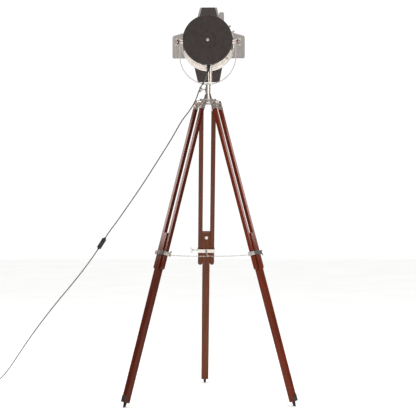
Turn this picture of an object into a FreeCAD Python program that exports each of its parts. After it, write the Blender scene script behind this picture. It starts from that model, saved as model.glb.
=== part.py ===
import FreeCAD, Part
import math
import os

# Tripod searchlight floor lamp with barn doors and an inline-switched mains lead.
# Millimetres, +Z up, the light beam points along +Y.
# Everything is drawn about the stem's centre line. main() then shifts it so that the
# origin is the centre of the standing lamp's footprint, on the floor.

# ---- driving dimensions ----
BEAM_Z = 1509.5           # tilt axis and beam axis above the floor
CLEAR = 0.3               # gap between faces that slide past each other
FIT = 0.05                # radial running fit of a shaft

LEG_COUNT = 3
TRIPOD_TURN = 3.3         # the tripod stands turned this far against the head, degrees
HINGE_R = 37.3            # leg hinge axis from the stem axis
HINGE_Z = 1254.0
LEG_LEAN = 16.1           # degrees from upright
HINGE_PIN_R = 3.0

RAIL_WIDE = 19.5
RAIL_DEEP = 14.0
RAIL_GAP = 33.0
RAIL_TOP = -33.5          # distances along a leg are measured up from its hinge
RAIL_END = -729.5
TENON_WIDE = 9.0
TENON_DEEP = 9.0
TENON_LONG = 10.0
CAP_PROUD = 0.4

LOWER_WIDE = 32.4
LOWER_DEEP = 23.0
LOWER_TOP = -576.5
LOWER_END = -1284.5
CLAMP_AT = -662.5
CLAMP_TALL = 15.6
CLAMP_WALL = 3.0
STOP_BOLT_AT = -600.5
STOP_BOLT_R = 9.0
FOOT_PLATE_TALL = 26.0
FOOT_PLATE_THICK = 1.5
TIP_LONG = 30.0
TIP_R = 7.0
TIP_END_R = 3.4

RING_R = 7.0              # ring that joins the three spreader chains
RING_WIRE = 1.2
CHAIN_SAG = 9.0
CHAIN_R = 1.6

HUB_R = 32.0
HUB_TOP = 1266.0
HUB_BOTTOM = 1253.0
EAR_WIDE = RAIL_GAP - 2 * CLEAR
LUG_R = 7.6
HUB_CONE = 6.0            # height of the cone under the hub
HUB_NUT = 22.0            # across the flats of the nut that holds the stem
HUB_NUT_TALL = 4.0

SOCKET_R = 12.5
SOCKET_TOP = 1327.5
FLARE_TOP = 1288.0
FLARE_R = 18.3
SPIGOT_R = 9.5
SPIGOT_END = 1272.0
SOCKET_SCREW_Z = 1308.0

SCREW_R = 2.5
WING_EAR_R = 4.9          # a wing's round end, its distance from the screw's axis and its height
WING_SPREAD = 7.8
WING_HEIGHT = 10.0
WING_THICK = 3.2
WING_HUB_TALL = 7.0
TILT_NUT_SCALE = 1.35     # the tilt nuts are this much larger than the other wing screws
SOCKET_SCREW_LONG = 12.5
CLAMP_SCREW_LONG = 20.0

YOKE_R = 118.5            # centre line of the bent strip
YOKE_THICK = 3.5
YOKE_WIDE = 22.0
YOKE_BOTTOM = 1329.5      # centre line of the strip at its lowest point
STUD_R = 4.0

DRUM_R = 101.5
DRUM_WALL = 1.5
DRUM_REAR = -55.0
DRUM_FRONT = 50.0
COVER_R = 104.5
COVER_THICK = 4.5
SHOULDER_R = 109.5
SHOULDER_FRONT = 60.0
RIM_R = 114.5
RIM_FRONT = 78.0
RIM_WALL = 1.5
LIP_R = 80.0              # opening of the rim's flat front plate

FITTINGS_Y = 68.0         # filter clip and studs on the rim
CLIP_X = 57.0
CLIP_WIDE = 22.0
CLIP_TOP = 139.0
CLIP_THICK = 1.5
RIM_STUD_R = 4.0
RIM_STUD_TOP = 126.0
RIM_STUD_TURNS = (50.0, 63.0)   # degrees from upright, towards +X
THUMB_SCREW_Y = -20.0
THUMB_SCREW_R = 5.0
THUMB_SCREW_TURN = 132.0

HINGE_Y = 81.5            # barn door hinge axis, from the tilt axis along the beam
HINGE_H = 84.0            # barn door hinge axis from the beam axis
KNUCKLE_R = 2.6
DOOR_PIN_R = 1.3
DOOR_LONG = 100.0
FLANGE_START = 34.0       # the top door's flanges begin outside the rim
FLANGE_WIDE = 8.0
FLANGE_SHORT = 4.0        # how far short of the door's edge a flange ends
DOOR_THICK = 1.2
KNUCKLE_INNER = 20.0      # a door's knuckles lie between these distances from its middle
KNUCKLE_OUTER = 35.0
DOOR_TURNS = {"top": 0.0, "right": -90.0, "bottom": 180.0, "left": 90.0}
DOORS = {
    # name: (hinge width, outer width, opening from the beam in degrees, corner radius, flanges)
    "top": (96.0, 60.0, 60.5, 2.0, True),
    "right": (116.0, 98.0, 47.9, 9.5, False),
    "bottom": (125.0, 95.0, 43.1, 10.0, False),
    "left": (116.0, 98.0, 47.9, 9.5, False),
}

HOLDER_R = 19.0
HOLDER_REAR = -45.0
HOLDER_FRONT = -5.0
BULB_R = 13.5             # E27 screw shell
SHELL_WALL = 0.7
HANDLE_X = 9.0
HANDLE_Y = 5.0
HANDLE_R = 7.5
HANDLE_END = 1340.0
HANDLE_GRIP = 58.0        # length of the thicker part that is held
FOCUS_TRAVEL = 6.0

CORD_D = 5.0
GLAND = (3.0, -26.0)      # X, Y of the cable gland under the drum
GLAND_NUT_Z = 1397.0
SWITCH_WIDE = 18.0
SWITCH_DEEP = 22.0
ROCKER_LONG = 24.0
ROCKER_WIDE = 9.0
ROCKER_TILT = 7.0         # degrees that the rocker stands to either side of level
COIL_R = 27.5             # middle of the coil's turns
COIL_THICK = 10.4

# Hand-placed route of the mains lead: from the gland to the tie on the yoke,
# past the hub to the switch, and from the switch to the coil on the floor.
CORD_HEAD = [
    (-2, -24, 1373), (-3.5, -22.4, 1362), (-7, -18.2, 1351.5), (-12.5, -14.6, 1342.5),
    (-20.5, -14.6, 1331),
]
CORD_UPPER = [
    (-20.5, -14.6, 1331), (-28.5, -14.6, 1319.5), (-36, -20, 1303), (-41.5, -29, 1286),
    (-47, -37, 1268), (-59, -42, 1241), (-80, -42.5, 1208.5), (-108, -41, 1174),
    (-131, -39.5, 1134), (-156, -38, 1090), (-193, -37, 1032), (-230, -36, 973.5),
    (-268, -35, 914), (-307.5, -33, 856), (-347.5, -30, 799), (-388, -26, 742),
    (-415, -22.5, 707.5), (-434.2, -19.6, 679),
]
CORD_LOWER = [
    (-464.8, -16.4, 631), (-482, -14, 605.5), (-508, -8, 570), (-546, 2, 521),
    (-588, 16, 471), (-632, 36, 421), (-676, 57.5, 369), (-719, 83, 317.5),
    (-760, 113, 266), (-799.5, 147, 215.5), (-837, 184, 166), (-872, 224, 119),
    (-906, 266, 77), (-938, 312, 42), (-967, 358, 18), (-993, 398, 6), (-1014, 432, 2.6),
]
COIL_CENTRE = (-1037.5, 417.3)
PLUG_TURN = 150.0         # where the lead leaves the coil for the plug, degrees

V = FreeCAD.Vector
X = V(1, 0, 0)
Y = V(0, 1, 0)
Z = V(0, 0, 1)
ORIGIN = V(0, 0, 0)


# ---- helpers ----
def box(low, high):
    """A box between two corners."""
    size = [b - a for a, b in zip(low, high)]
    return Part.makeBox(*size, V(*low))


def rod(radius, start, end):
    """A round bar between two points."""
    along = V(*end) - V(*start)
    return Part.makeCylinder(radius, along.Length, V(*start), along)


def cone(radius_a, radius_b, start, end):
    along = V(*end) - V(*start)
    return Part.makeCone(radius_a, radius_b, along.Length, V(*start), along)


def hexagon(across, start, end):
    """A hexagonal bar between two points."""
    along = V(*end) - V(*start)
    side = along.cross(X if abs(along.x) < 0.5 * along.Length else Z).normalize()
    turn = FreeCAD.Rotation(along, 60)
    corner = side * (across / math.sqrt(3))
    corners = []
    for _ in range(6):
        corners.append(V(*start) + corner)
        corner = turn.multVec(corner)
    return Part.Face(Part.makePolygon(corners + corners[:1])).extrude(along)


def prism(points, along):
    """A closed outline of straight edges, extruded."""
    corners = [V(*p) for p in points]
    return Part.Face(Part.makePolygon(corners + corners[:1])).extrude(V(*along))


def lathe(profile):
    """A closed outline of (radius, y) points, turned about the beam axis."""
    corners = [V(r, y, 0) for r, y in profile]
    face = Part.Face(Part.makePolygon(corners + corners[:1]))
    turned = face.revolve(ORIGIN, Y, 360)
    turned.translate(V(0, 0, BEAM_Z))
    return turned


def fuse(shapes):
    whole = shapes[0].multiFuse(shapes[1:])
    return whole.removeSplitter()


def group(shapes):
    return Part.makeCompound(shapes)


def moved(shape, placement):
    return shape.transformed(placement.toMatrix(), True)


def spun(shape, degrees, axis=Z, centre=ORIGIN):
    turned = shape.copy()
    turned.rotate(centre, axis, degrees)
    return turned


def rounded_bar(wide_y, deep_x, low, high, corner):
    """An upright bar with rounded long edges, centred on the Z axis."""
    bar = box((-deep_x / 2, -wide_y / 2, low), (deep_x / 2, wide_y / 2, high))
    upright = [e for e in bar.Edges if abs(e.Vertexes[0].Z - e.Vertexes[1].Z) > 1]
    return bar.makeFillet(corner, upright)


def wings(hub_r, scale=1.0):
    """A pair of wings that stand on the Z axis, spread along Y, with their round hub."""
    ear_r = WING_EAR_R * scale
    spread = WING_SPREAD * scale
    height = WING_HEIGHT * scale
    thick = WING_THICK
    parts = [cone(hub_r, hub_r - 1.2, (0, 0, 0), (0, 0, WING_HUB_TALL))]
    for side in (-1, 1):
        ear = rod(ear_r, (-thick / 2, side * spread, height), (thick / 2, side * spread, height))
        web = prism(
            [
                (-thick / 2, 0, 0.8),
                (-thick / 2, side * 3, 0.8),
                (-thick / 2, side * (spread + ear_r * 0.85), height - ear_r * 0.5),
                (-thick / 2, side * (spread - ear_r * 0.8), height + ear_r * 0.55),
                (-thick / 2, 0, WING_HUB_TALL - 0.5),
            ],
            (thick, 0, 0),
        )
        parts += [ear, web]
    return fuse(parts)


def wing_screw(reach):
    """A wing screw along Z: its tip at 0 and its wings beyond the given reach."""
    head = wings(SCREW_R + 2.1)
    head.translate(V(0, 0, reach))
    return fuse([rod(SCREW_R, (0, 0, 0), (0, 0, reach + 1)), head])


def path_of(points):
    """Straight runs joined by tangent arcs, each as large as its two runs allow."""
    corners = [V(*p) for p in points]
    edges = []
    radii = []
    start = corners[0]
    for before, corner, after in zip(corners, corners[1:], corners[2:]):
        into = corner - before
        out = after - corner
        half = into.getAngle(out) / 2
        back = 0.45 * min(into.Length, out.Length)
        radii.append(back / math.tan(half))
        into.normalize()
        out.normalize()
        first = corner - into * back
        last = corner + out * back
        inward = (out - into).normalize()
        middle = corner + inward * (radii[-1] / math.cos(half) - radii[-1])
        edges.append(Part.LineSegment(start, first).toShape())
        edges.append(Part.Arc(first, middle, last).toShape())
        start = last
    edges.append(Part.LineSegment(start, corners[-1]).toShape())
    return Part.Wire(edges), radii


def cord_tube(points):
    """The lead's round section swept along its route."""
    path, radii = path_of(points)
    start = V(*points[0])
    heading = V(*points[1]) - start
    section = Part.Wire(Part.Circle(start, heading, CORD_D / 2).toShape())
    tube = path.makePipeShell([section], True, True)
    expected = math.pi * CORD_D**2 / 4 * path.Length
    print("radii", [round(r) for r in radii], "length", round(path.Length, 1))
    print("volume ratio", round(tube.Volume / expected, 4))
    return tube


# ---- tripod ----
def leg_azimuth(number):
    return 90 + 120 * number + TRIPOD_TURN


def leg_place(number):
    """From a leg's own frame (X outward, Y sideways, Z up along it, hinge at 0)."""
    lean = FreeCAD.Placement(ORIGIN, FreeCAD.Rotation(Y, -LEG_LEAN))
    hinge = FreeCAD.Placement(V(HINGE_R, 0, HINGE_Z), FreeCAD.Rotation())
    turn = FreeCAD.Placement(ORIGIN, FreeCAD.Rotation(Z, leg_azimuth(number)))
    return turn * hinge * lean


def ear_shapes():
    """One leg's ear of the hub, along +X: a plate that ends in a lug around the hinge pin."""
    half = EAR_WIDE / 2
    plate = box((0, -half, HUB_BOTTOM), (HINGE_R, half, HINGE_Z + LUG_R))
    lug = rod(LUG_R, (HINGE_R, -half, HINGE_Z), (HINGE_R, half, HINGE_Z))
    bead = rod(half - 6, (HINGE_R - 8, 0, HUB_TOP - 6), (HINGE_R - 8, 0, HUB_TOP))
    return [plate, lug, bead]


def hub_casting():
    parts = [
        Part.makeCylinder(HUB_R, HUB_TOP - HUB_BOTTOM, V(0, 0, HUB_BOTTOM)),
        Part.makeCone(HUB_R - 8, HUB_R, HUB_CONE, V(0, 0, HUB_BOTTOM - HUB_CONE)),
    ]
    holes = [Part.makeCylinder(SPIGOT_R, 40, V(0, 0, HUB_BOTTOM - 10))]
    for number in range(LEG_COUNT):
        azimuth = leg_azimuth(number)
        parts += [spun(s, azimuth) for s in ear_shapes()]
        pin = rod(HINGE_PIN_R + FIT, (HINGE_R, -30, HINGE_Z), (HINGE_R, 30, HINGE_Z))
        holes.append(spun(pin, azimuth))
    return fuse(parts).cut(group(holes))


def leg_caps():
    """Both metal caps of a leg, with the hinge bolt through them."""
    parts = []
    half_deep = RAIL_DEEP / 2 + CAP_PROUD
    for side in (-1, 1):
        near = RAIL_GAP / 2
        far = near + RAIL_WIDE + CAP_PROUD
        low_y, high_y = sorted((side * near, side * far))
        block = box((-half_deep, low_y, RAIL_TOP), (half_deep, high_y, 0))
        crown = rod(half_deep, (0, low_y, 0), (0, high_y, 0))
        middle = side * (near + RAIL_WIDE / 2)
        pocket = box(
            (-TENON_DEEP / 2, middle - TENON_WIDE / 2, RAIL_TOP),
            (TENON_DEEP / 2, middle + TENON_WIDE / 2, RAIL_TOP + TENON_LONG),
        )
        pin = rod(HINGE_PIN_R + 0.02, (0, low_y - 1, 0), (0, high_y + 1, 0))
        parts.append(fuse([block, crown]).cut(group([pocket, pin])))
    outer = RAIL_GAP / 2 + RAIL_WIDE + CAP_PROUD
    bolt = rod(HINGE_PIN_R, (0, -outer - 1, 0), (0, outer + 1, 0))
    heads = [
        hexagon(11, (0, outer, 0), (0, outer + 4, 0)),
        rod(6, (0, -outer, 0), (0, -outer - 3.5, 0)),
    ]
    parts.append(fuse([bolt] + heads))
    return group(parts)


def leg_rails():
    """The two wooden rails of the upper leg, with tenons and rounded lower ends."""
    parts = []
    for side in (-1, 1):
        bar = rounded_bar(RAIL_WIDE, RAIL_DEEP, RAIL_END, RAIL_TOP, 1.5)
        half = RAIL_WIDE / 2
        tip = V(0, 0, RAIL_END + half)
        outline = fuse(
            [
                box((-20, -half, RAIL_END + half), (20, half, RAIL_TOP)),
                Part.makeCylinder(half, 40, tip - X * 20, X),
            ]
        )
        tenon = box(
            (-TENON_DEEP / 2, -TENON_WIDE / 2, RAIL_TOP),
            (TENON_DEEP / 2, TENON_WIDE / 2, RAIL_TOP + TENON_LONG - 0.5),
        )
        rail = fuse([bar.common(outline), tenon])
        rail.translate(V(0, side * (RAIL_GAP + RAIL_WIDE) / 2, 0))
        parts.append(rail)
    return group(parts)


def clamp_half_wide():
    return RAIL_GAP / 2 + RAIL_WIDE + CLAMP_WALL


def clamp():
    """The band around both rails, stepped out around the deeper lower leg."""
    half = clamp_half_wide()
    low = CLAMP_AT - CLAMP_TALL / 2
    high = CLAMP_AT + CLAMP_TALL / 2
    deep = LOWER_DEEP / 2 + CLEAR
    rail_deep = RAIL_DEEP / 2 + 0.02
    band = rounded_bar(2 * half, 2 * (deep + CLAMP_WALL), low, high, 2.5)
    eye = Part.makeTorus(4.5, 1.5, V(-deep - CLAMP_WALL - 5, 0, CLAMP_AT), Z)
    boss = rod(6, (0, half - 1, CLAMP_AT), (0, half + 3, CLAMP_AT))
    inside = half - CLAMP_WALL
    window = box((-rail_deep, -inside, low - 1), (rail_deep, inside, high + 1))
    middle = box((-deep, -RAIL_GAP / 2, low - 1), (deep, RAIL_GAP / 2, high + 1))
    hole = rod(SCREW_R + FIT, (0, half - 10, CLAMP_AT), (0, half + 10, CLAMP_AT))
    return fuse([band, eye, boss]).cut(group([window, middle, hole]))


def clamp_screw():
    """The wing screw in the clamp's side; its tip stands just off the rail."""
    screw = wing_screw(CLAMP_SCREW_LONG)
    screw.rotate(ORIGIN, X, -90)
    screw.translate(V(0, clamp_half_wide() - CLAMP_WALL + CLEAR, CLAMP_AT))
    return screw


def lower_leg():
    bar = rounded_bar(LOWER_WIDE, LOWER_DEEP, LOWER_END, LOWER_TOP, 1.5)
    hole = rod(3, (-20, 0, STOP_BOLT_AT), (0, 0, STOP_BOLT_AT))
    return bar.cut(hole)


def stop_bolt():
    """The round-headed bolt on the inner face that keeps the leg from pulling out."""
    face = -LOWER_DEEP / 2
    head = cone(STOP_BOLT_R, STOP_BOLT_R - 2, (face, 0, STOP_BOLT_AT), (face - 4, 0, STOP_BOLT_AT))
    shank = rod(2.98, (face + 8, 0, STOP_BOLT_AT), (face - 1, 0, STOP_BOLT_AT))
    return fuse([head, shank])


def foot_plate():
    """The metal shoe: a plate on the outer face, bent under the leg, with two screws."""
    face = LOWER_DEEP / 2
    half_wide = LOWER_WIDE / 2
    low = LOWER_END - FOOT_PLATE_THICK
    upright = box((face, -half_wide, low), (face + FOOT_PLATE_THICK, half_wide, LOWER_END + FOOT_PLATE_TALL))
    under = box((-face + 3, -half_wide + 3, low), (face + FOOT_PLATE_THICK, half_wide - 3, LOWER_END))
    parts = [upright, under]
    outside = face + FOOT_PLATE_THICK
    for side in (-1, 1):
        height = LOWER_END + FOOT_PLATE_TALL - 8
        parts.append(rod(3, (outside - 0.2, side * 9, height), (outside + 1, side * 9, height)))
    return fuse(parts)


def foot_tip(number):
    """The tapered rubber peg under the leg, cut level with the floor."""
    top = LOWER_END - FOOT_PLATE_THICK
    tip = cone(TIP_R, TIP_END_R, (0, 0, top), (0, 0, top - TIP_LONG))
    below = Part.makeBox(4000, 4000, 200, V(-2000, -2000, -200))
    return moved(tip, leg_place(number)).cut(below)


def chain_end(number):
    """Where a leg's chain hooks into the eye of its clamp."""
    deep = LOWER_DEEP / 2 + CLEAR + CLAMP_WALL
    return leg_place(number).multVec(V(-deep - 11.5, 0, CLAMP_AT))


def ring_centre():
    return V(0, 0, chain_end(0).z - CHAIN_SAG)


def chain(number):
    """A leg's length of spreader chain as one slack, solid line to the centre ring."""
    far = chain_end(number)
    level = V(far.x, far.y, 0).normalize()
    near = ring_centre() + level * (RING_R + RING_WIRE + FIT)
    middle = (near + far) * 0.5 - Z * (0.3 * CHAIN_SAG)
    path = Part.Wire([Part.Arc(near, middle, far).toShape()])
    heading = path.Edges[0].tangentAt(path.Edges[0].FirstParameter)
    section = Part.Wire(Part.Circle(near, heading, CHAIN_R).toShape())
    return path.makePipeShell([section], True, True)


def spreader_ring():
    return Part.makeTorus(RING_R, RING_WIRE, ring_centre(), Z)


# ---- stem and yoke ----
def stem_socket():
    """The stem's lower part: flared socket, and a shank down through the hub."""
    nut_top = HUB_BOTTOM - HUB_CONE
    shank_end = nut_top - HUB_NUT_TALL + 1
    parts = [
        Part.makeCylinder(SOCKET_R, SOCKET_TOP - FLARE_TOP, V(0, 0, FLARE_TOP)),
        Part.makeCone(FLARE_R, SOCKET_R, FLARE_TOP - HUB_TOP, V(0, 0, HUB_TOP)),
        Part.makeCylinder(SOCKET_R + 1.2, 4, V(0, 0, SOCKET_TOP - 4)),
        Part.makeCylinder(SPIGOT_R - 0.02, HUB_TOP - shank_end, V(0, 0, shank_end)),
        hexagon(HUB_NUT, (0, 0, nut_top), (0, 0, nut_top - HUB_NUT_TALL)),
    ]
    holes = [
        Part.makeCylinder(SPIGOT_R + FIT, SOCKET_TOP, V(0, 0, SPIGOT_END - CLEAR)),
        rod(SCREW_R + FIT, (0, 0, SOCKET_SCREW_Z), (-40, 0, SOCKET_SCREW_Z)),
    ]
    return fuse(parts).cut(group(holes))


def socket_screw():
    """The wing screw that locks the yoke's spigot in the socket."""
    screw = wing_screw(SOCKET_SCREW_LONG)
    screw.rotate(ORIGIN, Y, -90)
    screw.rotate(ORIGIN, X, 90)
    screw.translate(V(-SPIGOT_R - CLEAR, 0, SOCKET_SCREW_Z))
    return screw


def yoke_bracket():
    """One strip bent into a U, with rounded ends around the tilt studs."""
    arc_z = YOKE_BOTTOM + YOKE_R
    end_z = BEAM_Z + YOKE_WIDE / 2
    outer = YOKE_R + YOKE_THICK / 2
    inner = YOKE_R - YOKE_THICK / 2
    back = V(0, -YOKE_WIDE / 2, 0)

    def u_solid(radius):
        low = Part.makeCylinder(radius, YOKE_WIDE, V(0, 0, arc_z) + back, Y)
        high = box((-radius, back.y, arc_z), (radius, -back.y, end_z))
        return fuse([low, high])

    crown = fuse(
        [
            box((-150, back.y, 0), (150, -back.y, BEAM_Z)),
            rod(YOKE_WIDE / 2, (-150, 0, BEAM_Z), (150, 0, BEAM_Z)),
        ]
    )
    lower_part = box((-150, back.y, 0), (150, -back.y, BEAM_Z - 1))
    strip = u_solid(outer).cut(u_solid(inner))
    strip = fuse([strip.common(lower_part), strip.common(crown)])
    studs = rod(STUD_R + FIT, (-150, 0, BEAM_Z), (150, 0, BEAM_Z))
    bolt = Part.makeCylinder(5.02, 20, V(0, 0, YOKE_BOTTOM - 10))
    return strip.cut(group([studs, bolt]))


def yoke_spigot():
    """The turned pin under the yoke, riveted through it with a domed head."""
    under = YOKE_BOTTOM - YOKE_THICK / 2
    over = YOKE_BOTTOM + YOKE_THICK / 2
    dome = Part.makeSphere(9.5, V(0, 0, over - 5.5))
    dome = dome.common(Part.makeBox(40, 40, 40, V(-20, -20, over)))
    # the strip curves up to each side, so the shoulder and the dome are cut back to it
    arc_z = YOKE_BOTTOM + YOKE_R
    strip_under = Part.makeCylinder(YOKE_R + YOKE_THICK / 2, 80, V(0, -40, arc_z), Y)
    shoulder = Part.makeCylinder(SPIGOT_R, under - SPIGOT_END + 3, V(0, 0, SPIGOT_END))
    return fuse(
        [
            shoulder.cut(strip_under),
            Part.makeCylinder(5, over - under + 4, V(0, 0, under - 2)),
            dome.translated(V(0, 0, 0.35)),
        ]
    )


def cord_tie():
    """The small plastic saddle that holds the lead to the yoke's rear edge."""
    x, y, z = CORD_HEAD[-1]
    heading = (V(*CORD_UPPER[1]) - V(*CORD_HEAD[-2])).normalize()
    middle = V(x, y, z)
    ring = Part.makeCylinder(CORD_D / 2 + 1.4, 7, middle - heading * 3.5, heading)
    bore = Part.makeCylinder(CORD_D / 2 + 0.1, 12, middle - heading * 6, heading)
    return ring.cut(bore).cut(yoke_bracket())


# ---- head ----
def drum():
    inner = DRUM_R - DRUM_WALL
    shell = lathe(
        [
            (inner, DRUM_REAR), (DRUM_R, DRUM_REAR), (DRUM_R, -42), (DRUM_R + 1, -41),
            (DRUM_R + 1, -38), (DRUM_R, -37), (DRUM_R, 37), (DRUM_R + 1, 38),
            (DRUM_R + 1, 41), (DRUM_R, 42), (DRUM_R, DRUM_FRONT), (inner, DRUM_FRONT),
        ]
    )
    studs = rod(STUD_R + 0.02, (-150, 0, BEAM_Z), (150, 0, BEAM_Z))
    gland_hole = rod(4.52, (*GLAND, BEAM_Z - 120), (*GLAND, BEAM_Z - 80))
    reach = FOCUS_TRAVEL + 0.5
    half = 3.0 + CLEAR
    slot = box(
        (HANDLE_X - half, HANDLE_Y - reach, BEAM_Z - 120),
        (HANDLE_X + half, HANDLE_Y + reach, BEAM_Z - 80),
    )
    slot_ends = []
    for y in (HANDLE_Y - reach, HANDLE_Y + reach):
        slot_ends.append(rod(half, (HANDLE_X, y, BEAM_Z - 120), (HANDLE_X, y, BEAM_Z - 80)))
    return shell.cut(group([studs, gland_hole, slot] + slot_ends))


def filled_drum():
    """The drum's outside as one solid, to end other parts on its surface."""
    return lathe([(0, DRUM_REAR), (DRUM_R, DRUM_REAR), (DRUM_R, DRUM_FRONT), (0, DRUM_FRONT)])


def spun_about_beam(shape, degrees):
    """Turned about the beam axis; positive goes from +X up to +Z."""
    return spun(shape, -degrees, Y, V(0, 0, BEAM_Z))


def rear_cover():
    """The pressed rear lid, with a rounded edge, two sunk rings and a lip in the drum."""
    rear = DRUM_REAR - COVER_THICK
    lip = DRUM_R - DRUM_WALL - 0.1
    sunk = rear + 0.8
    return lathe(
        [
            (3, rear), (9, rear), (9.8, sunk), (12.2, sunk), (13, rear),
            (31, rear), (31.8, sunk), (34.2, sunk), (35, rear),
            (COVER_R - 4, rear), (COVER_R - 1.2, rear + 0.8), (COVER_R, rear + 2.2),
            (COVER_R, DRUM_REAR), (lip, DRUM_REAR), (lip, DRUM_REAR + 8),
            (lip - 1.5, DRUM_REAR + 8), (lip - 1.5, DRUM_REAR), (lip - 8, rear + 1.5), (3, rear + 1.5),
        ]
    )


def rear_nut():
    """The domed nut and its stay bolt in the middle of the rear lid."""
    rear = DRUM_REAR - COVER_THICK
    return lathe(
        [
            (0, rear - 6.5), (2.4, rear - 6), (4.2, rear - 4), (4.6, rear - 1.2),
            (6.5, rear - 1), (6.5, rear), (2.98, rear), (2.98, rear + 2.5), (0, rear + 2.5),
        ]
    )


def shoulder_ring():
    """The flared step between the drum and the wider front rim."""
    return lathe(
        [
            (DRUM_R - DRUM_WALL, DRUM_FRONT), (DRUM_R + 2, DRUM_FRONT),
            (SHOULDER_R - 0.5, SHOULDER_FRONT - 4), (SHOULDER_R, SHOULDER_FRONT),
            (DRUM_R - DRUM_WALL, SHOULDER_FRONT),
        ]
    )


def door_hinge_knuckles():
    """The rim's own hinge knuckles, one block for each barn door, in the door's frame."""
    half = KNUCKLE_INNER - 0.5
    knuckle = rod(KNUCKLE_R, (-half, HINGE_Y, HINGE_H), (half, HINGE_Y, HINGE_H))
    web = box((-half, RIM_FRONT - RIM_WALL / 2, HINGE_H - 2), (half, HINGE_Y, HINGE_H + 1))
    return fuse([knuckle, web])


def door_frame(name):
    """From a door's own frame (X along its hinge, Y along the beam, Z away from it)."""
    turn = FreeCAD.Placement(ORIGIN, FreeCAD.Rotation(Y, -DOOR_TURNS[name]))
    return FreeCAD.Placement(V(0, 0, BEAM_Z), FreeCAD.Rotation()) * turn


def rim_outline():
    """The rim's outer face as (radius, y) points, from the shoulder to the front."""
    return [
        (SHOULDER_R, SHOULDER_FRONT), (SHOULDER_R + 1, SHOULDER_FRONT + 2),
        (RIM_R - 0.6, RIM_FRONT - 5), (RIM_R, RIM_FRONT - 3), (RIM_R - 0.6, RIM_FRONT),
    ]


def front_ring():
    """The flared nickel rim, with the hinge knuckles of the four doors."""
    wall = RIM_WALL
    inner = DRUM_R - DRUM_WALL
    hollow = [
        (LIP_R, RIM_FRONT), (LIP_R, RIM_FRONT - wall), (RIM_R - 6.5, RIM_FRONT - wall),
        (RIM_R - wall - 2, RIM_FRONT - wall - 2),
        (SHOULDER_R - wall, SHOULDER_FRONT + 3 * wall), (inner, SHOULDER_FRONT + wall),
    ]
    parts = [lathe([(inner, SHOULDER_FRONT)] + rim_outline() + hollow)]
    holes = []
    for name in DOOR_TURNS:
        frame = door_frame(name)
        parts.append(moved(door_hinge_knuckles(), frame))
        pin = rod(DOOR_PIN_R + 0.02, (-60, HINGE_Y, HINGE_H), (60, HINGE_Y, HINGE_H))
        holes.append(moved(pin, frame))
    return fuse(parts).cut(group(holes))


def hinge_pins():
    pins = []
    for name in DOOR_TURNS:
        end = KNUCKLE_OUTER + 2
        pin = rod(DOOR_PIN_R, (-end, HINGE_Y, HINGE_H), (end, HINGE_Y, HINGE_H))
        pins.append(moved(pin, door_frame(name)))
    return group(pins)


def ring_fittings():
    """On the rim a filter clip and two studs, and a thumb screw in the drum's lower right."""
    y = FITTINGS_Y
    low = BEAM_Z + CLIP_X
    tip = BEAM_Z + CLIP_TOP
    left = CLIP_X - CLIP_WIDE / 2
    right = CLIP_X + CLIP_WIDE / 2
    clip = prism(
        [
            (left, y, low), (right, y, low), (right, y, tip - 7), (right - 1.5, y, tip - 3),
            (right - 5, y, tip), (left + 5, y, tip), (left + 1.5, y, tip - 3), (left, y, tip - 7),
        ],
        (0, CLIP_THICK, 0),
    )
    stud_foot = BEAM_Z + SHOULDER_R - 4
    stud = rod(RIM_STUD_R, (0, y, stud_foot), (0, y, BEAM_Z + RIM_STUD_TOP))
    filled_rim = lathe([(0, SHOULDER_FRONT)] + rim_outline() + [(0, RIM_FRONT)])
    on_rim = [clip] + [spun_about_beam(stud, -angle) for angle in RIM_STUD_TURNS]
    neck = BEAM_Z + DRUM_R + 5
    screw = fuse(
        [
            rod(SCREW_R, (0, THUMB_SCREW_Y, BEAM_Z + DRUM_R - 8), (0, THUMB_SCREW_Y, neck + 1)),
            rod(THUMB_SCREW_R, (0, THUMB_SCREW_Y, neck), (0, THUMB_SCREW_Y, neck + 7)),
        ]
    )
    screw = spun_about_beam(screw, -THUMB_SCREW_TURN)
    return group([s.cut(filled_rim) for s in on_rim] + [screw.cut(filled_drum())])


def door_sheet(hinge_wide, outer_wide, near, corner):
    """A door's flat leaf, Y away from its hinge, with its two outer corners rounded."""
    half = DOOR_THICK / 2
    sheet = prism(
        [
            (-hinge_wide / 2, near, -half), (hinge_wide / 2, near, -half),
            (outer_wide / 2, DOOR_LONG, -half), (-outer_wide / 2, DOOR_LONG, -half),
        ],
        (0, 0, DOOR_THICK),
    )
    outer = [
        e for e in sheet.Edges
        if abs(e.Vertexes[0].Z - e.Vertexes[1].Z) > half and e.Vertexes[0].Y > DOOR_LONG / 2
    ]
    return sheet.makeFillet(corner, outer)


def door_flange(hinge_wide, outer_wide, near, side):
    """The lip folded up along one slanting side of a door."""
    def on_edge(y):
        share = (y - near) / (DOOR_LONG - near)
        return V(side * (hinge_wide + (outer_wide - hinge_wide) * share) / 2, y, -DOOR_THICK / 2)

    start = on_edge(FLANGE_START)
    end = on_edge(DOOR_LONG - FLANGE_SHORT)
    lean = V(side, 0, 0.9).normalize() * FLANGE_WIDE
    root = V(-side * DOOR_THICK, 0, 0)
    up = Z * DOOR_THICK
    return prism([start + root, start, start + lean, start + lean + up, start + root + up], end - start)


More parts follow.
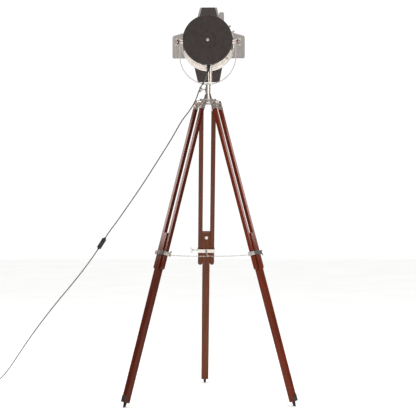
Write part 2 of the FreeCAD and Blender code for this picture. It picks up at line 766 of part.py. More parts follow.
def door(name):
    """A sheet-metal leaf with two curled knuckles, swung open about its hinge."""
    hinge_wide, outer_wide, opening, corner, flanged = DOORS[name]
    near = KNUCKLE_R - 0.4
    parts = [door_sheet(hinge_wide, outer_wide, near, corner)]
    for side in (-1, 1):
        if flanged:
            parts.append(door_flange(hinge_wide, outer_wide, near, side))
        parts.append(rod(KNUCKLE_R, (side * KNUCKLE_INNER, 0, 0), (side * KNUCKLE_OUTER, 0, 0)))
    bore = rod(DOOR_PIN_R + FIT, (-80, 0, 0), (80, 0, 0))
    relief = rod(KNUCKLE_R + 0.5, (-KNUCKLE_INNER, 0, 0), (KNUCKLE_INNER, 0, 0))
    leaf = fuse(parts).cut(group([bore, relief]))
    leaf.rotate(ORIGIN, X, opening)
    leaf.translate(V(0, HINGE_Y, HINGE_H))
    return moved(leaf, door_frame(name))


def reflector():
    """The polished bowl behind the bulb: two arcs turned about the beam axis."""
    wall = 0.8
    low = V(HOLDER_R + 2, -22, 0)
    bend = V(62.5, 19, 0)
    rim = V(LIP_R - wall, RIM_FRONT - RIM_WALL - wall, 0)
    off = V(wall, -wall, 0) * 0.7
    inner_arc = Part.Arc(low, bend, rim).toShape()
    outer_arc = Part.Arc(low + V(0, -wall, 0), bend + off, rim + V(wall, 0, 0)).toShape()
    ends = [
        Part.LineSegment(low, low + V(0, -wall, 0)).toShape(),
        Part.LineSegment(rim, rim + V(wall, 0, 0)).toShape(),
    ]
    edges = Part.sortEdges([inner_arc, outer_arc] + ends)[0]
    bowl = Part.Face(Part.Wire(edges)).revolve(ORIGIN, Y, 360)
    bowl.translate(V(0, 0, BEAM_Z))
    back = RIM_FRONT - RIM_WALL
    flange = lathe([(rim.x, back - wall), (rim.x, back), (rim.x + 5, back), (rim.x + 5, back - wall)])
    return fuse([bowl, flange])


def tilt_studs():
    """The studs that carry the head in the yoke, each with its spacer."""
    inner = DRUM_R - DRUM_WALL
    wall = lathe([(inner, -30), (DRUM_R, -30), (DRUM_R, 30), (inner, 30)])
    parts = []
    for side in (-1, 1):
        spacer_end = YOKE_R - YOKE_THICK / 2 - CLEAR
        spacer = rod(8, (side * (inner - 5), 0, BEAM_Z), (side * spacer_end, 0, BEAM_Z))
        stud = rod(STUD_R, (side * (inner - 8), 0, BEAM_Z), (side * 133, 0, BEAM_Z))
        parts.append(fuse([spacer.cut(wall), stud]))
    return group(parts)


def tilt_nut(side):
    """A wing nut on a tilt stud, outside the yoke."""
    nut = wings(STUD_R + 2.4, TILT_NUT_SCALE)
    nut = nut.cut(rod(STUD_R + FIT, (0, 0, -1), (0, 0, 30)))
    nut.rotate(ORIGIN, Y, 90 * side)
    nut.rotate(ORIGIN, X, 90)
    nut.translate(V(side * (YOKE_R + YOKE_THICK / 2 + CLEAR), 0, BEAM_Z))
    return nut


def gland():
    """The cable gland under the drum, with its tapered strain relief."""
    x, y = GLAND
    nut = hexagon(14, (x, y, GLAND_NUT_Z), (x, y, BEAM_Z - DRUM_R + 1.0))
    thread = rod(4.5, (x, y, GLAND_NUT_Z + 2), (x, y, BEAM_Z - DRUM_R + 4.5))
    tip = V(*CORD_HEAD[0])
    start = V(x, y, GLAND_NUT_Z)
    relief = Part.makeCone(5.4, 3.4, (tip - start).Length, start, tip - start)
    ball = Part.makeSphere(5.4, start)
    return fuse([nut.cut(filled_drum()), thread, relief, ball])


def lamp_carriage():
    """The sliding bracket that carries the lamp holder, with its handle below the drum."""
    plate_y = HOLDER_REAR - 3
    drum_bottom = BEAM_Z - DRUM_R
    low = drum_bottom + DRUM_WALL + 4

    def on_handle(radius, bottom, top):
        return rod(radius, (HANDLE_X, HANDLE_Y, bottom), (HANDLE_X, HANDLE_Y, top))

    parts = [
        box((-12, plate_y, low), (16, HOLDER_REAR, BEAM_Z + 16)),
        box((-12, plate_y, low), (16, HANDLE_Y + 8, low + 3)),
        on_handle(3, drum_bottom - 6, low + 2),
        on_handle(HANDLE_R - 1.5, HANDLE_END + HANDLE_GRIP - 8, drum_bottom - 2.5),
        on_handle(HANDLE_R, HANDLE_END, HANDLE_END + HANDLE_GRIP),
    ]
    return fuse(parts)


def lamp_holder():
    """The black holder body, hollow for the screw shell."""
    return lathe(
        [
            (0, HOLDER_REAR), (15, HOLDER_REAR), (HOLDER_R - 1, HOLDER_REAR + 6), (HOLDER_R - 1, -22),
            (HOLDER_R, -20), (HOLDER_R, HOLDER_FRONT), (BULB_R + SHELL_WALL, HOLDER_FRONT),
            (BULB_R + SHELL_WALL, HOLDER_FRONT - 26), (0, HOLDER_FRONT - 26),
        ]
    )


def socket_shell():
    """The screw shell that takes the bulb's cap."""
    return lathe(
        [
            (BULB_R, HOLDER_FRONT - 24), (BULB_R, HOLDER_FRONT - 0.5),
            (BULB_R + SHELL_WALL, HOLDER_FRONT - 0.5), (BULB_R + SHELL_WALL, HOLDER_FRONT - 26),
            (0, HOLDER_FRONT - 26), (0, HOLDER_FRONT - 24),
        ]
    )


# ---- lead ----
def switch_place():
    """The switch's frame: Z along the lead towards the lamp, -Y out through the rocker."""
    top = V(*CORD_UPPER[-1])
    bottom = V(*CORD_LOWER[0])
    along = (top - bottom).normalize()
    front = (Y - along * Y.dot(along)).normalize()
    side = front.cross(along)
    turn = FreeCAD.Rotation(side, front, along, "ZXY")
    return FreeCAD.Placement((top + bottom) * 0.5, turn)


def switch_body():
    half = (V(*CORD_UPPER[-1]) - V(*CORD_LOWER[0])).Length / 2
    body = rounded_bar(SWITCH_DEEP, SWITCH_WIDE, -half + 6, half - 6, 5)
    ends = [
        cone(6.5, 4, (0, 0, half - 7), (0, 0, half)),
        cone(6.5, 4, (0, 0, -half + 7), (0, 0, -half)),
    ]
    front = -SWITCH_DEEP / 2
    window = box(
        (-ROCKER_WIDE / 2 - CLEAR, front - 1, -ROCKER_LONG / 2 - CLEAR),
        (ROCKER_WIDE / 2 + CLEAR, front + 7, ROCKER_LONG / 2 + CLEAR),
    )
    pivot = rod(1.25, (-8, front + 3, 0), (8, front + 3, 0))
    shell = fuse([body] + ends).cut(group([window, pivot]))
    return moved(shell, switch_place())


def switch_rocker():
    """The rocker, resting with one end down, on its own short pivot pins."""
    front = -SWITCH_DEEP / 2
    half = ROCKER_WIDE / 2
    profile = [
        (-half, front + 1.0, -ROCKER_LONG / 2 + 0.6), (-half, front - 1.8, -ROCKER_LONG / 2 + 0.6),
        (-half, front - 0.4, 0), (-half, front - 1.8, ROCKER_LONG / 2 - 0.6),
        (-half, front + 1.0, ROCKER_LONG / 2 - 0.6), (-half, front + 4.5, 3), (-half, front + 4.5, -3),
    ]
    rocker = prism(profile, (2 * half, 0, 0))
    pins = rod(1.2, (-half - 2, front + 3, 0), (half + 2, front + 3, 0))
    rocker = fuse([rocker, pins])
    rocker.rotate(V(0, front + 3, 0), X, ROCKER_TILT)
    return moved(rocker, switch_place())


def cord_coil():
    """The put-away length as the closed outer shape of its coil."""
    half = COIL_THICK / 2
    centre = V(*COIL_CENTRE, 0)
    ring = Part.makeCylinder(COIL_R + half, COIL_THICK, centre)
    return ring.cut(Part.makeCylinder(COIL_R - half, COIL_THICK, centre))


def plug():
    """A flat two-pin plug that lies beside the coil, its tail against the outer turn."""
    high = 14.0
    body = fuse(
        [
            rounded_slab(26, 20, high, 22, 5),
            rounded_slab(20, 14, high - 2, 14, 4).translated(V(-12, 0, 1)),
        ]
    )
    tail = cone(5.0, 3.1, (-14, 0, high / 2), (-40, 0, 7.7))
    pins = []
    for side in (-1, 1):
        pin = rod(2.0, (20, side * 9.3, high / 2), (40, side * 9.3, high / 2))
        tip = Part.makeSphere(2.0, V(40, side * 9.3, high / 2))
        pins += [pin, tip]
    whole = fuse([body, tail] + pins)
    angle = math.radians(PLUG_TURN)
    reach = COIL_R + COIL_THICK / 2 - CORD_D / 2
    leave = V(*COIL_CENTRE, 0) + V(math.cos(angle), math.sin(angle), 0) * reach
    turn = FreeCAD.Rotation(Z, PLUG_TURN + 90)
    gap = turn.multVec(V(40, 0, 0))
    return moved(whole, FreeCAD.Placement(leave + gap, turn))


def rounded_slab(long_x, wide_y, high, ahead, corner):
    """A lying block with rounded upright edges that ends at the given X."""
    slab = box((ahead - long_x, -wide_y / 2 - 3, 0), (ahead, wide_y / 2 + 3, high))
    upright = [e for e in slab.Edges if abs(e.Vertexes[0].Z - e.Vertexes[1].Z) > 1]
    return slab.makeFillet(corner, upright)


# ---- assembly ----
def cord_node_names():
    lead = ["cord_head", "cord_upper", "cord_lower", "cord_coil"]
    return lead + ["switch_body", "switch_rocker", "plug"]


def build():
    nodes = {
        "hub_casting": hub_casting(),
        "stem_socket": stem_socket(),
        "socket_screw": socket_screw(),
        "spreader_ring": spreader_ring(),
        "yoke_bracket": yoke_bracket(),
        "yoke_spigot": yoke_spigot(),
        "cord_tie": cord_tie(),
        "tilt_nut_left": tilt_nut(-1),
        "tilt_nut_right": tilt_nut(1),
        "tilt_studs": tilt_studs(),
        "drum": drum(),
        "rear_cover": rear_cover(),
        "rear_nut": rear_nut(),
        "shoulder_ring": shoulder_ring(),
        "front_ring": front_ring(),
        "ring_fittings": ring_fittings(),
        "hinge_pins": hinge_pins(),
        "reflector": reflector(),
        "gland": gland(),
        "lamp_carriage": lamp_carriage(),
        "lamp_holder": lamp_holder(),
        "socket_shell": socket_shell(),
        "cord_head": cord_tube(CORD_HEAD),
        "cord_upper": cord_tube(CORD_UPPER),
        "switch_body": switch_body(),
        "switch_rocker": switch_rocker(),
        "cord_lower": cord_tube(CORD_LOWER),
        "cord_coil": cord_coil(),
        "plug": plug(),
    }
    for name in DOORS:
        nodes["door_" + name] = door(name)
    leg_parts = {
        "caps": leg_caps(),
        "rails": leg_rails(),
        "clamp": clamp(),
        "clamp_screw": clamp_screw(),
        "lower_leg": lower_leg(),
        "stop_bolt": stop_bolt(),
        "foot_plate": foot_plate(),
    }
    for number in range(LEG_COUNT):
        label = "leg_" + str(number + 1) + "_"
        for part_name, shape in leg_parts.items():
            nodes[label + part_name] = moved(shape, leg_place(number))
        nodes[label + "foot_tip"] = foot_tip(number)
        nodes[label + "chain"] = chain(number)
    return nodes


def centre_shift(nodes):
    """How far the stem axis moves so that the lamp's footprint is centred on the origin."""
    whole = FreeCAD.BoundBox()
    for name, shape in nodes.items():
        if name not in cord_node_names():
            whole.add(shape.optimalBoundingBox(False))
    return V(-whole.Center.x, -whole.Center.y, -whole.ZMin)


def main():
    os.makedirs("parts", exist_ok=True)
    nodes = build()
    shift = centre_shift(nodes)
    print("nodes", len(nodes), "shift", [round(c, 3) for c in shift])
    for name, shape in nodes.items():
        placed = shape.translated(shift)
        solids = placed.Solids
        whole = solids[0] if len(solids) == 1 else group(solids)
        print(name, len(solids), placed.isValid(), round(placed.Volume))
        whole.exportStep("parts/" + name + ".step")


if __name__ == "__main__":
    main()
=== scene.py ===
import math

import bpy
from mathutils import Matrix, Vector


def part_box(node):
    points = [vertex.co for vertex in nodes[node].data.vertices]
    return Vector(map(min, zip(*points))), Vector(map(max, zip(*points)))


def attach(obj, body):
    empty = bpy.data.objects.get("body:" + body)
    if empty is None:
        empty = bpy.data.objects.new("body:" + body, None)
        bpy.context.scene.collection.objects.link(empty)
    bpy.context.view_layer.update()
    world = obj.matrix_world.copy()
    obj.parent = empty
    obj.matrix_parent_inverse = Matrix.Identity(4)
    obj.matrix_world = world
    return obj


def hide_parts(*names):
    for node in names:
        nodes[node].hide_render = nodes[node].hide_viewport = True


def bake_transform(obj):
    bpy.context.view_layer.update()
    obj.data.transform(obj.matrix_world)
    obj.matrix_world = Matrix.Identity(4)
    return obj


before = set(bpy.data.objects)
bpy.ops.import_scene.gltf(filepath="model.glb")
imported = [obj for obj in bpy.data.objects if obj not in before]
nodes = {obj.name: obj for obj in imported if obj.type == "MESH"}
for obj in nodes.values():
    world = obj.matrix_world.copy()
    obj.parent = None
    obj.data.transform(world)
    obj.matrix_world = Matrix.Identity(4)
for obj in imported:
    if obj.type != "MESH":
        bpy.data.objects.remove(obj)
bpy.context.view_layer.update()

# ---- dimensions, in metres and degrees unless they say otherwise ----
MM = 0.001
socket_low, socket_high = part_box("stem_socket")
STEM = Vector(((socket_low.x + socket_high.x) / 2, (socket_low.y + socket_high.y) / 2, 0.0))
BEAM_Z = 1509.5 * MM          # the head's axis
DOOR_HINGE_H = 84.0 * MM      # the door hinges' distance from it
LIP_OFF_LEAF = 1.5 * MM       # faces further off the top door's leaf are its lips
LIP_FROM_HINGE = 25.0 * MM    # and further than this from its hinge
NUT_HUB_R = 8.5 * MM

LEGS = 3
TRIPOD_TURN = 3.3
LEG_LEAN = 16.1
HINGE_R = 37.3 * MM
HINGE_Z = 1254.0 * MM
CLAMP_AT = -662.5 * MM        # along the leg, from its hinge
CLAMP_EYE_X = -26.3 * MM      # across the leg, towards the stem's axis
CHAIN_SAG = 9.0 * MM          # of the ring below the clamps' eyes
CHAIN_BELLY = 2.7 * MM        # of a chain's middle below the line between its ends
RING_REACH = 8.25 * MM
LINK_PITCH = 6.6 * MM
LINK_LONG = 4.6 * MM          # between the centres of a link's two round ends
LINK_WIDE = 1.9 * MM          # radius of the wire's centre line at an end
LINK_WIRE = 0.75 * MM
LINK_STEPS = 6                # in the half circle at a link's end

CORD_D = 5.0 * MM
ROUTE_STEPS = 8               # of a route's spline between two of its points

# The coil in millimetres from the stem's axis: radii of its outer and inner turns, heights of
# its lower and upper ones, and the turns at which the lead moves in, up and out again.
COIL_CENTRE = (-1037.5, 417.3)
COIL_OUTER = 30.1
COIL_INNER = 24.9
COIL_LOW = 2.6
COIL_HIGH = 7.8
COIL_MOVES_IN = (0.83, 0.98)
COIL_MOVES_UP = (1.64, 1.83)
COIL_MOVES_OUT = (2.56, 2.72)
COIL_START = 32.0
COIL_END = 150.0 + 3 * 360.0
POINTS_A_TURN = 18

# The lead's route in millimetres from the stem's axis. It has the CAD tubes' points, except at
# the floor, where the last ones lead into the coil's first turn.
CORD_HEAD = [
    (-2, -24, 1373), (-3.5, -22.4, 1362), (-7, -18.2, 1351.5), (-12.5, -14.6, 1342.5),
    (-20.5, -14.6, 1331),
]
CORD_UPPER = [
    (-20.5, -14.6, 1331), (-28.5, -14.6, 1319.5), (-36, -20, 1303), (-41.5, -29, 1286),
    (-47, -37, 1268), (-59, -42, 1241), (-80, -42.5, 1208.5), (-108, -41, 1174),
    (-131, -39.5, 1134), (-156, -38, 1090), (-193, -37, 1032), (-230, -36, 973.5),
    (-268, -35, 914), (-307.5, -33, 856), (-347.5, -30, 799), (-388, -26, 742),
    (-415, -22.5, 707.5), (-434.2, -19.6, 679),
]
CORD_LOWER = [
    (-464.8, -16.4, 631), (-482, -14, 605.5), (-508, -8, 570), (-546, 2, 521),
    (-588, 16, 471), (-632, 36, 421), (-676, 57.5, 369), (-719, 83, 317.5),
    (-760, 113, 266), (-799.5, 147, 215.5), (-837, 184, 166), (-872, 224, 119),
    (-906, 266, 77), (-938, 312, 42), (-967, 358, 16), (-992, 399, 4),
]


def from_stem(point):
    """Where a point given in millimetres from the stem's axis is in the scene."""
    return STEM + Vector(point) * MM


# ---- camera ----
CAMERA_TURN = 1.2
CAMERA_FAR = 4.436            # from the stem's axis
CAMERA_SIDE = 0.0004          # and to its right
CAMERA_HEIGHT = 0.805
CAMERA_LENS = 90.49           # millimetres, for the sensor's width below
CAMERA_SENSOR = 36.0
turn = math.radians(CAMERA_TURN)
camera_data = bpy.data.cameras.new("camera")
camera_data.lens = CAMERA_LENS
camera_data.sensor_width = CAMERA_SENSOR
camera = bpy.data.objects.new("camera", camera_data)
back = Vector((math.sin(turn), -math.cos(turn), 0.0))
side = Vector((math.cos(turn), math.sin(turn), 0.0))
camera.location = STEM + back * CAMERA_FAR + side * CAMERA_SIDE + Vector((0, 0, CAMERA_HEIGHT))
camera.rotation_euler = (math.radians(90), 0.0, turn)
bpy.context.scene.collection.objects.link(camera)
bpy.context.scene.camera = camera


# ---- mesh helpers ----
def mesh_from(name, vertices, faces):
    """A new smooth-shaded object made of these vertices and faces."""
    mesh = bpy.data.meshes.new(name)
    mesh.from_pydata([tuple(v) for v in vertices], [], faces)
    mesh.update()
    for polygon in mesh.polygons:
        polygon.use_smooth = True
    piece = bpy.data.objects.new(name, mesh)
    bpy.context.scene.collection.objects.link(piece)
    return piece


def spline_points(points):
    """The points that a NURBS spline with these control points passes through."""
    curve = bpy.data.curves.new("route", "CURVE")
    curve.dimensions = "3D"
    curve.resolution_u = ROUTE_STEPS
    spline = curve.splines.new("NURBS")
    spline.points.add(len(points) - 1)
    for point, place in zip(spline.points, points):
        point.co = (*place, 1.0)
    spline.order_u = 3
    spline.use_endpoint_u = True
    holder = bpy.data.objects.new("route", curve)
    mesh = bpy.data.meshes.new_from_object(holder)
    found = [v.co.copy() for v in mesh.vertices]
    bpy.data.objects.remove(holder)
    bpy.data.curves.remove(curve)
    bpy.data.meshes.remove(mesh)
    return found


def tube(path, radius, sides=14):
    """Vertices and faces of a closed tube whose rings don't twist along the path."""
    vertices = []
    faces = []
    heading = (path[1] - path[0]).normalized()
    across = heading.orthogonal().normalized()
    for i, place in enumerate(path):
        ahead = path[min(i + 1, len(path) - 1)]
        behind = path[max(i - 1, 0)]
        turned = (ahead - behind).normalized()
        across = heading.rotation_difference(turned) @ across
        heading = turned
        up = heading.cross(across)
        for k in range(sides):
            angle = 2 * math.pi * k / sides
            vertices.append(place + (across * math.cos(angle) + up * math.sin(angle)) * radius)
    for i in range(len(path) - 1):
        for k in range(sides):
            low = i * sides
            after = (k + 1) % sides
            faces.append((low + k, low + after, low + sides + after, low + sides + k))
    faces.append(tuple(reversed(range(sides))))
    last = (len(path) - 1) * sides
    faces.append(tuple(range(last, last + sides)))
    return vertices, faces


def cord_piece(name, route):
    """A stretch of the lead along a route, and the points that it follows."""
    path = spline_points(route)
    return mesh_from(name, *tube(path, CORD_D / 2)), path


# ---- materials ----
COLOUR_SPREAD = (0.34, 0.66)  # noise values at which a finish is darkest and lightest
GLOSS_SPREAD = (0.3, 0.7)     # and at which it is smoothest and roughest
RELIEF_DEEP = 0.4 * MM


def linear(red, green, blue):
    """An sRGB colour written as 0 to 255, as the shader wants it."""
    channels = []
    for value in (red, green, blue):
        share = value / 255
        if value < 10:    # the straight start of the sRGB curve
            channels.append(share / 12.92)
        else:
            channels.append(((share + 0.055) / 1.055) ** 2.4)
    return (*channels, 1.0)


def grey(value):
    """A linear grey."""
    return (value, value, value, 1.0)


def finish_of(name, dark, light, rough, metallic=0.0, size=(0.02, 0.02, 0.02), turned=(0, 0, 0),
              bump=0.1, bump_size=0.001, specular=0.5, detail=6.0):
    """A finish whose colour and gloss vary with noise, with a fine relief of its own."""
    mat = bpy.data.materials.new(name)
    mat.use_nodes = True
    tree = mat.node_tree
    shader = tree.nodes["Principled BSDF"]
    shader.inputs["Metallic"].default_value = metallic
    shader.inputs["Specular IOR Level"].default_value = specular
    coords = tree.nodes.new("ShaderNodeTexCoord")
    mapping = tree.nodes.new("ShaderNodeMapping")
    mapping.vector_type = "TEXTURE"
    mapping.inputs["Rotation"].default_value = turned
    mapping.inputs["Scale"].default_value = size
    noise = tree.nodes.new("ShaderNodeTexNoise")
    noise.inputs["Scale"].default_value = 1.0
    noise.inputs["Detail"].default_value = detail
    noise.inputs["Roughness"].default_value = 0.6
    ramp = tree.nodes.new("ShaderNodeValToRGB")
    for element, place, colour in zip(ramp.color_ramp.elements, COLOUR_SPREAD, (dark, light)):
        element.position = place
        element.color = colour
    gloss = tree.nodes.new("ShaderNodeMapRange")
    gloss.inputs["From Min"].default_value = GLOSS_SPREAD[0]
    gloss.inputs["From Max"].default_value = GLOSS_SPREAD[1]
    gloss.inputs["To Min"].default_value = rough[0]
    gloss.inputs["To Max"].default_value = rough[1]
    fine = tree.nodes.new("ShaderNodeTexNoise")
    fine.inputs["Scale"].default_value = 1 / bump_size
    fine.inputs["Detail"].default_value = 4.0
    relief = tree.nodes.new("ShaderNodeBump")
    relief.inputs["Strength"].default_value = bump
    relief.inputs["Distance"].default_value = RELIEF_DEEP
    link = tree.links.new
    link(coords.outputs["Object"], mapping.inputs["Vector"])
    link(mapping.outputs["Vector"], noise.inputs["Vector"])
    link(noise.outputs["Fac"], ramp.inputs["Fac"])
    link(ramp.outputs["Color"], shader.inputs["Base Color"])
    link(noise.outputs["Fac"], gloss.inputs["Value"])
    link(gloss.outputs["Result"], shader.inputs["Roughness"])
    link(coords.outputs["Object"], fine.inputs["Vector"])
    link(fine.outputs["Fac"], relief.inputs["Height"])
    link(relief.outputs["Normal"], shader.inputs["Normal"])
    return mat


# Mahogany's darkest and lightest colour. Each leg's wood has painted light of its own: a strength for
# red and green, below one on the near left leg as painted shade, and a haze in green and blue as a
# painted grey sheen, strongest on the far leg.
WOOD_DARK = (74, 18, 2)
WOOD_LIGHT = (110, 34, 5)
WOOD_PAINTED_LIGHT = ((1.0, 20), (0.80, 0), (1.0, 3))


def leg_azimuth(number):
    """Where a leg points, in radians from the X axis. The first leg is the far one."""
    return math.radians(90 + 360 / LEGS * number + TRIPOD_TURN)


def with_painted_light(colour, number):
    """A wood colour with one leg's painted shade and painted sheen."""
    red, green, blue = colour
    painted_darkening, painted_sheen = WOOD_PAINTED_LIGHT[number]
    return linear(red * painted_darkening, green * painted_darkening + painted_sheen, blue + painted_sheen)


def wood_for(number):
    """Varnished mahogany with its grain along one leg."""
    return finish_of(
        "wood_" + str(number + 1), with_painted_light(WOOD_DARK, number), with_painted_light(WOOD_LIGHT, number), (0.16, 0.26),
        size=(0.0035, 0.0035, 0.11), turned=(0.0, math.radians(-LEG_LEAN), leg_azimuth(number)),
        bump=0.04, bump_size=0.0022, detail=8.0, specular=0.24,
    )


woods = [wood_for(n) for n in range(LEGS)]
nickel = finish_of("nickel", linear(204, 196, 188), linear(226, 220, 213), (0.05, 0.11), 0.9,
                   size=(0.03, 0.03, 0.03), bump=0.03, bump_size=0.0008)
# polished nickel with random dark greyish-brown patches of painted shade
nickel_painted_shade_patches = finish_of("nickel_painted_shade_patches", linear(120, 102, 90), linear(242, 236, 230), (0.12, 0.26), 0.75,
                        size=(0.009, 0.009, 0.009), bump=0.05, bump_size=0.001)
satin = finish_of("satin_nickel", linear(162, 156, 152), linear(182, 176, 171), (0.42, 0.54), 0.45,
                  size=(0.06, 0.002, 0.06), bump=0.06, bump_size=0.0006)
black = finish_of("black_satin", linear(41, 32, 29), linear(52, 42, 39), (0.42, 0.56),
                  bump=0.08, bump_size=0.0009, specular=0.4)
mirror = finish_of("mirror", linear(226, 226, 224), linear(236, 236, 234), (0.04, 0.08), 1.0,
                   bump=0.01, bump_size=0.004)
plastic = finish_of("black_plastic", linear(18, 18, 19), linear(28, 28, 29), (0.38, 0.52),
                    bump=0.16, bump_size=0.0005)
brass = finish_of("brass", linear(176, 138, 66), linear(204, 168, 92), (0.18, 0.32), 1.0,
                  bump=0.04, bump_size=0.001)
steel = finish_of("dark_steel", linear(70, 66, 62), linear(96, 90, 84), (0.32, 0.50), 1.0,
                  bump=0.10, bump_size=0.001)
# painted shade: the dark brown of the tilt nuts' hubs, where shade falls between the wings
hub_shade_paint = finish_of("hub_painted_shade", linear(96, 66, 54), linear(132, 98, 84), (0.25, 0.40), 0.8,
                   bump=0.06, bump_size=0.001)
rubber = finish_of("rubber", linear(24, 23, 22), linear(36, 34, 33), (0.66, 0.82),
                   bump=0.25, bump_size=0.0007, specular=0.3)
sheath = finish_of("cord_sheath", linear(84, 82, 80), linear(98, 96, 94), (0.46, 0.58),
                   bump=0.06, bump_size=0.0012)


def finish_for(name):
    """The finish of a CAD node."""
    if name.endswith(("_rails", "_lower_leg")):
        return woods[int(name.split("_")[1]) - 1]
    if name.endswith("_foot_plate"):
        return steel
    if name.endswith("_foot_tip"):
        return rubber
    if name in ("door_left", "door_right"):
        return satin
    if name in ("rear_cover", "door_top", "door_bottom"):
        return black
    if name in ("gland", "lamp_holder", "switch_body", "switch_rocker", "plug", "cord_tie"):
        return plastic
    if name.startswith("cord_"):
        return sheath
    # caps and hub casting: nickel with painted shade in patches
    if name.endswith("_caps") or name == "hub_casting":
        return nickel_painted_shade_patches
    return {"reflector": mirror, "socket_shell": brass, "ring_fittings": satin}.get(name, nickel)


for name, node in nodes.items():
    node.data.materials.clear()
    node.data.materials.append(finish_for(name))


def bright_lips(door):
    """Gives the top door's folded lips bare metal: the faces that stand off the leaf's plane."""
    mesh = door.data
    mesh.materials.append(satin)
    leaf = max(mesh.polygons, key=lambda polygon: polygon.area)
    for polygon in mesh.polygons:
        off_plane = abs((polygon.center - leaf.center).dot(leaf.normal))
        beyond_hinge = (door.matrix_world @ polygon.center).z - BEAM_Z - DOOR_HINGE_H
        if off_plane > LIP_OFF_LEAF and beyond_hinge > LIP_FROM_HINGE:
            polygon.material_index = 1


def paint_hub_shade(nut):
    """Paints shade on a tilt nut's hub, darker and browner than its wings: the faces close to the tilt
    axis.
    """
    mesh = nut.data
    mesh.materials.append(hub_shade_paint)
    for polygon in mesh.polygons:
        place = nut.matrix_world @ polygon.center
        if math.hypot(place.y - STEM.y, place.z - BEAM_Z) < NUT_HUB_R:
            polygon.material_index = 1


bright_lips(nodes["door_top"])
paint_hub_shade(nodes["tilt_nut_left"])
paint_hub_shade(nodes["tilt_nut_right"])


# ---- the lead ----
def eased(value, low, high):
    """0 before low, 1 after high, and smooth between them."""
    share = min(max((value - low) / (high - low), 0.0), 1.0)
    return share * share * (3 - 2 * share)


def coil_points():
    """The coil's turns: two on the floor, outer then inner, and the rest on top of them."""
    count = round((COIL_END - COIL_START) / 360 * POINTS_A_TURN)
    step = (COIL_END - COIL_START) / count
    # the spline runs inside its points, so all but the last stand a little further out
    outward = 1 / math.cos(math.radians(step / 2))
    found = []
    for i in range(count + 1):
        turns = i * step / 360
        inward = eased(turns, *COIL_MOVES_IN) - eased(turns, *COIL_MOVES_OUT)
        radius = COIL_OUTER - (COIL_OUTER - COIL_INNER) * inward
        height = COIL_LOW + (COIL_HIGH - COIL_LOW) * eased(turns, *COIL_MOVES_UP)
        angle = math.radians(COIL_START + i * step)
        reach = radius * (outward if i < count else 1.0)
        found.append(
            (COIL_CENTRE[0] + reach * math.cos(angle), COIL_CENTRE[1] + reach * math.sin(angle), height)
        )
    return found


head_cord, head_path = cord_piece("flex_head", [from_stem(p) for p in CORD_HEAD])
upper_cord, upper_path = cord_piece("flex_upper", [from_stem(p) for p in CORD_UPPER])
lower_route = [from_stem(p) for p in CORD_LOWER + coil_points()]
lower_cord, lower_path = cord_piece("flex_lower", lower_route)
for piece in (head_cord, upper_cord, lower_cord):
    piece.data.materials.append(sheath)

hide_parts("cord_head")
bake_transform(head_cord)
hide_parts("cord_upper")
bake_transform(upper_cord)
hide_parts("cord_lower", "cord_coil")
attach(lower_cord, "root")


# ---- spreader chains ----
def leg_frame(number):
    """From a leg's own frame (X outward, Z up along it, hinge at 0) to the scene's."""
    return (
        Matrix.Translation(STEM) @ Matrix.Rotation(leg_azimuth(number), 4, "Z")
        @ Matrix.Translation((HINGE_R, 0, HINGE_Z)) @ Matrix.Rotation(math.radians(-LEG_LEAN), 4, "Y")
    )


def link_shape():
    """Centre line of one link in its own frame: two round ends joined by straight sides."""
    found = []
    for end in (1, -1):
        for k in range(LINK_STEPS + 1):
            angle = math.pi * k / LINK_STEPS - math.pi / 2
            along = LINK_LONG / 2 + LINK_WIDE * math.cos(angle)
            across = LINK_WIDE * math.sin(angle)
            found.append(Vector((end * along, end * across, 0)))
    return found


def link_mesh(sides=7):
    """Vertices and faces of one link: a round wire along its centre line."""
    line = link_shape()
    vertices = []
    faces = []
    count = len(line)
    for i, place in enumerate(line):
        along = (line[(i + 1) % count] - line[i - 1]).normalized()
        out = along.cross(Vector((0, 0, 1)))
        for k in range(sides):
            angle = 2 * math.pi * k / sides
            raised = Vector((0, 0, LINK_WIRE * math.sin(angle)))
            vertices.append(place + out * (LINK_WIRE * math.cos(angle)) + raised)
    for i in range(count):
        for k in range(sides):
            after = (k + 1) % sides
            low = i * sides
            high = (i + 1) % count * sides
            faces.append((low + k, low + after, high + after, high + k))
    return vertices, faces


def chain_piece(number):
    """A leg's spreader chain, link by link from the centre ring to the clamp's eye."""
    far = leg_frame(number) @ Vector((CLAMP_EYE_X, 0, CLAMP_AT))
    middle = Vector((STEM.x, STEM.y, far.z - CHAIN_SAG))
    level = Vector((far.x - middle.x, far.y - middle.y, 0)).normalized()
    near = middle + level * RING_REACH
    count = round((far - near).length / LINK_PITCH)
    shape, shape_faces = link_mesh()
    vertices = []
    faces = []
    for i in range(count):
        share = (i + 0.5) / count
        place = near.lerp(far, share) - Vector((0, 0, 4 * CHAIN_BELLY * share * (1 - share)))
        slope = (far.z - near.z) - 4 * CHAIN_BELLY * (1 - 2 * share)
        run = Vector((far.x - near.x, far.y - near.y, slope)).normalized()
        flat = run.cross(Vector((0, 0, 1))).normalized()
        up = run.cross(flat)
        if i % 2:
            flat, up = up, -flat
        base = len(vertices)
        vertices += [place + run * v.x + flat * v.y + up * v.z for v in shape]
        faces += [tuple(base + k for k in face) for face in shape_faces]
    label = "leg_" + str(number + 1)
    piece = mesh_from(label + "_chain_links", vertices, faces)
    piece.data.materials.append(nickel)
    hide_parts(label + "_chain")
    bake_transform(piece)


for number in range(LEGS):
    chain_piece(number)


# ---- smooth shading of the CAD nodes that show ----
for node in nodes.values():
    if not node.hide_render:
        for polygon in node.data.polygons:
            polygon.use_smooth = True


# ---- floor and light ----
FLOOR_REACH = 12.0            # half of the floor's side
ROOM_LIGHT = 1.04             # strength of the room's even light
WARM = (1.0, 0.84, 0.79)      # the side panels' tint

# What polished surfaces mirror, from the camera's side (0) to the backdrop's (1): place and
# brightness.
MIRRORED = [
    (0.0, 0.75), (0.06, 0.70), (0.16, 0.12), (0.52, 0.07), (0.86, 0.08), (0.94, 0.90), (1.0, 0.95),
]


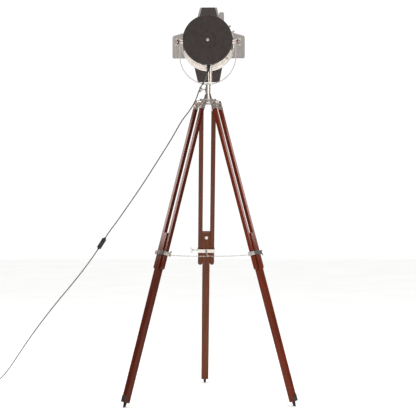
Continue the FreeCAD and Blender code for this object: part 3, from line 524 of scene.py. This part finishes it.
def pale_floor():
    """A square of plain pale floor."""
    corners = [(x * FLOOR_REACH, y * FLOOR_REACH, 0) for x, y in ((-1, -1), (1, -1), (1, 1), (-1, 1))]
    floor = mesh_from("floor", corners, [(0, 1, 2, 3)])
    floor.data.materials.append(
        finish_of("floor", linear(251, 251, 250), linear(255, 255, 254), (0.72, 0.82),
                  size=(0.6, 0.6, 0.6), bump=0.0)
    )


def studio_world():
    """A white room: even light on matt surfaces, and for polished ones a bright
    backdrop behind the object, a bright panel in front of it and dim sides."""
    world = bpy.data.worlds.new("world")
    world.use_nodes = True
    tree = world.node_tree
    even = tree.nodes["Background"]
    even.inputs["Color"].default_value = grey(1.0)
    even.inputs["Strength"].default_value = ROOM_LIGHT
    mirrored = tree.nodes.new("ShaderNodeBackground")
    heading = tree.nodes.new("ShaderNodeTexCoord")
    parts = tree.nodes.new("ShaderNodeSeparateXYZ")
    to_share = tree.nodes.new("ShaderNodeMapRange")
    to_share.inputs["From Min"].default_value = -1.0
    to_share.inputs["From Max"].default_value = 1.0
    ramp = tree.nodes.new("ShaderNodeValToRGB")
    stops = ramp.color_ramp.elements
    for stop, (place, value) in zip(stops, (MIRRORED[0], MIRRORED[-1])):
        stop.position = place
        stop.color = grey(value)
    for place, value in MIRRORED[1:-1]:
        stops.new(place).color = grey(value)
    ray = tree.nodes.new("ShaderNodeLightPath")
    mix = tree.nodes.new("ShaderNodeMixShader")
    link = tree.links.new
    link(heading.outputs["Generated"], parts.inputs["Vector"])
    link(parts.outputs["Y"], to_share.inputs["Value"])
    link(to_share.outputs["Result"], ramp.inputs["Fac"])
    link(ramp.outputs["Color"], mirrored.inputs["Color"])
    link(ray.outputs["Is Glossy Ray"], mix.inputs[0])
    link(even.outputs[0], mix.inputs[1])
    link(mirrored.outputs[0], mix.inputs[2])
    link(mix.outputs[0], tree.nodes["World Output"].inputs["Surface"])
    bpy.context.scene.world = world


def area_light(name, place, target, size, power, tint=(1.0, 1.0, 1.0)):
    """A rectangular light at a place, turned towards a target, with a power in watts."""
    data = bpy.data.lights.new(name, "AREA")
    data.shape = "RECTANGLE"
    data.size, data.size_y = size
    data.energy = power
    data.color = tint
    lamp = bpy.data.objects.new(name, data)
    lamp.location = place
    lamp.rotation_euler = (Vector(target) - Vector(place)).to_track_quat("-Z", "Y").to_euler()
    bpy.context.scene.collection.objects.link(lamp)


pale_floor()
studio_world()
area_light("key", (2.0, -3.0, 2.6), (0, 0, 1.0), (0.9, 2.0), 24)
area_light("top", (0.0, 0.4, 3.4), (0, 0, 0.6), (2.4, 1.6), 30)
area_light("left_panel", (-2.3, 1.05, 1.67), (-0.15, 0, 1.0), (0.6, 0.80), 12, WARM)
area_light("right_panel", (2.0, 1.65, 1.57), (0.15, 0, 1.0), (0.6, 0.70), 6, WARM)
bpy.context.scene.view_settings.view_transform = "Standard"
